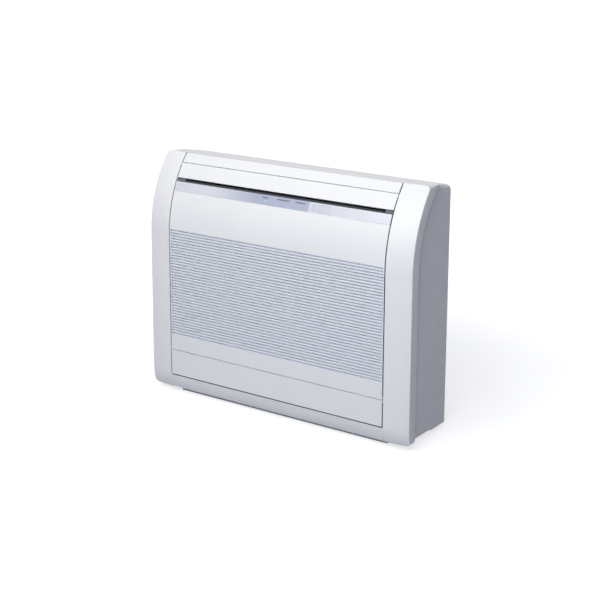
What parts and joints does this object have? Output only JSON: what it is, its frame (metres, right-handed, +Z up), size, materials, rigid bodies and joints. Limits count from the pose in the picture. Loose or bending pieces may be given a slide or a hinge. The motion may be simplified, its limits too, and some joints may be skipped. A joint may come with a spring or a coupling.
{
  "type": "floor standing air conditioner",
  "caption": "Floor console air conditioner with a slotted intake grille, display strip, upper and lower louvers, crossflow fans, steering vanes and finned coil.",
  "frame": {"origin": "on the floor under the middle of the unit", "axes": "+Z up, the front faces -Y, +X to the viewer's right"},
  "size_m": [0.74, 0.2, 0.6],
  "materials": {
    "white_plastic": "satin moulded white",
    "duct_plastic": "dark grey moulded foam and plastic",
    "grey_plastic": "moulded grey",
    "sheet_steel": "galvanised sheet",
    "fin_aluminium": "bare fins",
    "filter_mesh": "fine mesh in a frame",
    "strip_silver": "silver film under clear plastic",
    "smoked_window": "tinted clear plastic",
    "circuit_board": "solder mask",
    "dark_plastic": "moulded black",
    "copper_tube": "drawn copper tube",
    "nut_brass": "turned brass"
  },
  "bodies": {
    "chassis": {"right_side_cover": "white_plastic", "left_side_cover": "white_plastic", "rear_casing": "white_plastic", "top_cover": "white_plastic", "top_rail": "white_plastic", "bottom_fascia": "white_plastic", "front_frame": "white_plastic", "drain_pan": "white_plastic", "upper_louver_motor": "white_plastic", "lower_louver_motor": "white_plastic", "upper_duct": "duct_plastic", "lower_duct": "duct_plastic", "base_plinth": "grey_plastic", "right_grille_catch": "grey_plastic", "left_grille_catch": "grey_plastic", "right_partition": "sheet_steel", "left_partition": "sheet_steel", "control_box": "sheet_steel", "control_cover": "sheet_steel", "upper_fan_motor": "sheet_steel", "lower_fan_motor": "sheet_steel", "coil_fins": "fin_aluminium", "right_coil_end": "fin_aluminium", "left_coil_end": "fin_aluminium", "right_air_filter": "filter_mesh", "left_air_filter": "filter_mesh", "display_board": "circuit_board", "control_board": "circuit_board", "upper_fan_bearing": "dark_plastic", "lower_fan_bearing": "dark_plastic", "terminal_block": "dark_plastic", "gas_pipe": "copper_tube", "liquid_pipe": "copper_tube", "gas_flare_nut": "nut_brass", "liquid_flare_nut": "nut_brass"},
    "grille": {"intake_grille": "white_plastic", "display_strip": "strip_silver", "indicator_lens_1": "smoked_window", "indicator_lens_2": "smoked_window", "indicator_lens_3": "smoked_window", "receiver_window": "smoked_window"},
    "upper_louver": {"upper_louver": "white_plastic"},
    "lower_louver": {"lower_louver": "white_plastic"},
    "manual_button": {"manual_button": "grey_plastic"},
    "upper_vane_1": {"upper_vane_1": "grey_plastic"},
    "upper_vane_2": {"upper_vane_2": "grey_plastic"},
    "upper_vane_3": {"upper_vane_3": "grey_plastic"},
    "upper_vane_4": {"upper_vane_4": "grey_plastic"},
    "upper_vane_5": {"upper_vane_5": "grey_plastic"},
    "lower_vane_1": {"lower_vane_1": "grey_plastic"},
    "lower_vane_2": {"lower_vane_2": "grey_plastic"},
    "lower_vane_3": {"lower_vane_3": "grey_plastic"},
    "lower_vane_4": {"lower_vane_4": "grey_plastic"},
    "lower_vane_5": {"lower_vane_5": "grey_plastic"},
    "upper_vane_link": {"upper_vane_link": "grey_plastic"},
    "lower_vane_link": {"lower_vane_link": "grey_plastic"},
    "upper_crossflow_fan": {"upper_crossflow_fan": "dark_plastic"},
    "lower_crossflow_fan": {"lower_crossflow_fan": "dark_plastic"},
    "outlet_switch": {"outlet_switch": "dark_plastic"}
  },
  "joints": [
    {"name": "grille_hinge", "type": "hinge", "parent": "chassis", "child": "grille", "pos_m": [0, -0.0968, 0.1201], "axis": [1, 0, 0], "range_deg": [0, 75]},
    {"name": "upper_louver_hinge", "type": "hinge", "parent": "chassis", "child": "upper_louver", "pos_m": [0, -0.04467, 0.57364], "axis": [-1, 0, 0], "range_deg": [0, 60]},
    {"name": "lower_louver_hinge", "type": "hinge", "parent": "chassis", "child": "lower_louver", "pos_m": [0, -0.0968, 0.112], "axis": [-1, 0, 0], "range_deg": [0, 60]},
    {"name": "upper_fan_spin", "type": "hinge", "parent": "chassis", "child": "upper_crossflow_fan", "pos_m": [0, 0.02, 0.465], "axis": [1, 0, 0], "continuous": true},
    {"name": "upper_link_slide", "type": "slide", "parent": "chassis", "child": "upper_vane_link", "axis": [1, 0, 0], "range_m": [-0.00602, 0.00602]},
    {"name": "upper_vane_1_turn", "type": "hinge", "parent": "chassis", "child": "upper_vane_1", "pos_m": [-0.22, -0.03973, 0.51504], "axis": [0, 0.6428, 0.766], "range_deg": [-25, 25]},
    {"name": "upper_vane_2_turn", "type": "hinge", "parent": "chassis", "child": "upper_vane_2", "pos_m": [-0.11, -0.03973, 0.51504], "axis": [0, 0.6428, 0.766], "range_deg": [-25, 25]},
    {"name": "upper_vane_3_turn", "type": "hinge", "parent": "chassis", "child": "upper_vane_3", "pos_m": [0, -0.03973, 0.51504], "axis": [0, 0.6428, 0.766], "range_deg": [-25, 25]},
    {"name": "upper_vane_4_turn", "type": "hinge", "parent": "chassis", "child": "upper_vane_4", "pos_m": [0.11, -0.03973, 0.51504], "axis": [0, 0.6428, 0.766], "range_deg": [-25, 25]},
    {"name": "upper_vane_5_turn", "type": "hinge", "parent": "chassis", "child": "upper_vane_5", "pos_m": [0.22, -0.03973, 0.51504], "axis": [0, 0.6428, 0.766], "range_deg": [-25, 25]},
    {"name": "lower_fan_spin", "type": "hinge", "parent": "chassis", "child": "lower_crossflow_fan", "pos_m": [0, 0.02, 0.14], "axis": [1, 0, 0], "continuous": true},
    {"name": "lower_link_slide", "type": "slide", "parent": "chassis", "child": "lower_vane_link", "axis": [1, 0, 0], "range_m": [-0.00516, 0.00516]},
    {"name": "lower_vane_1_turn", "type": "hinge", "parent": "chassis", "child": "lower_vane_1", "pos_m": [-0.22, -0.04753, 0.06517], "axis": [0, -0.342, 0.9397], "range_deg": [-25, 25]},
    {"name": "lower_vane_2_turn", "type": "hinge", "parent": "chassis", "child": "lower_vane_2", "pos_m": [-0.11, -0.04753, 0.06517], "axis": [0, -0.342, 0.9397], "range_deg": [-25, 25]},
    {"name": "lower_vane_3_turn", "type": "hinge", "parent": "chassis", "child": "lower_vane_3", "pos_m": [0, -0.04753, 0.06517], "axis": [0, -0.342, 0.9397], "range_deg": [-25, 25]},
    {"name": "lower_vane_4_turn", "type": "hinge", "parent": "chassis", "child": "lower_vane_4", "pos_m": [0.11, -0.04753, 0.06517], "axis": [0, -0.342, 0.9397], "range_deg": [-25, 25]},
    {"name": "lower_vane_5_turn", "type": "hinge", "parent": "chassis", "child": "lower_vane_5", "pos_m": [0.22, -0.04753, 0.06517], "axis": [0, -0.342, 0.9397], "range_deg": [-25, 25]},
    {"name": "manual_button_press", "type": "slide", "parent": "chassis", "child": "manual_button", "axis": [0, 1, 0], "range_m": [0, 0.0015], "stiffness_N_per_m": 400, "springref_m": -0.002},
    {"name": "outlet_switch_slide", "type": "slide", "parent": "chassis", "child": "outlet_switch", "axis": [0, 0, 1], "range_m": [0, 0.006]}
  ],
  "couplings": [
    {"joint": "upper_vane_1_turn", "follows": "upper_link_slide", "rad_per_m": -72.443},
    {"joint": "upper_vane_2_turn", "follows": "upper_link_slide", "rad_per_m": -72.443},
    {"joint": "upper_vane_3_turn", "follows": "upper_link_slide", "rad_per_m": -72.443},
    {"joint": "upper_vane_4_turn", "follows": "upper_link_slide", "rad_per_m": -72.443},
    {"joint": "upper_vane_5_turn", "follows": "upper_link_slide", "rad_per_m": -72.443},
    {"joint": "lower_vane_1_turn", "follows": "lower_link_slide", "rad_per_m": -84.517},
    {"joint": "lower_vane_2_turn", "follows": "lower_link_slide", "rad_per_m": -84.517},
    {"joint": "lower_vane_3_turn", "follows": "lower_link_slide", "rad_per_m": -84.517},
    {"joint": "lower_vane_4_turn", "follows": "lower_link_slide", "rad_per_m": -84.517},
    {"joint": "lower_vane_5_turn", "follows": "lower_link_slide", "rad_per_m": -84.517}
  ]
}
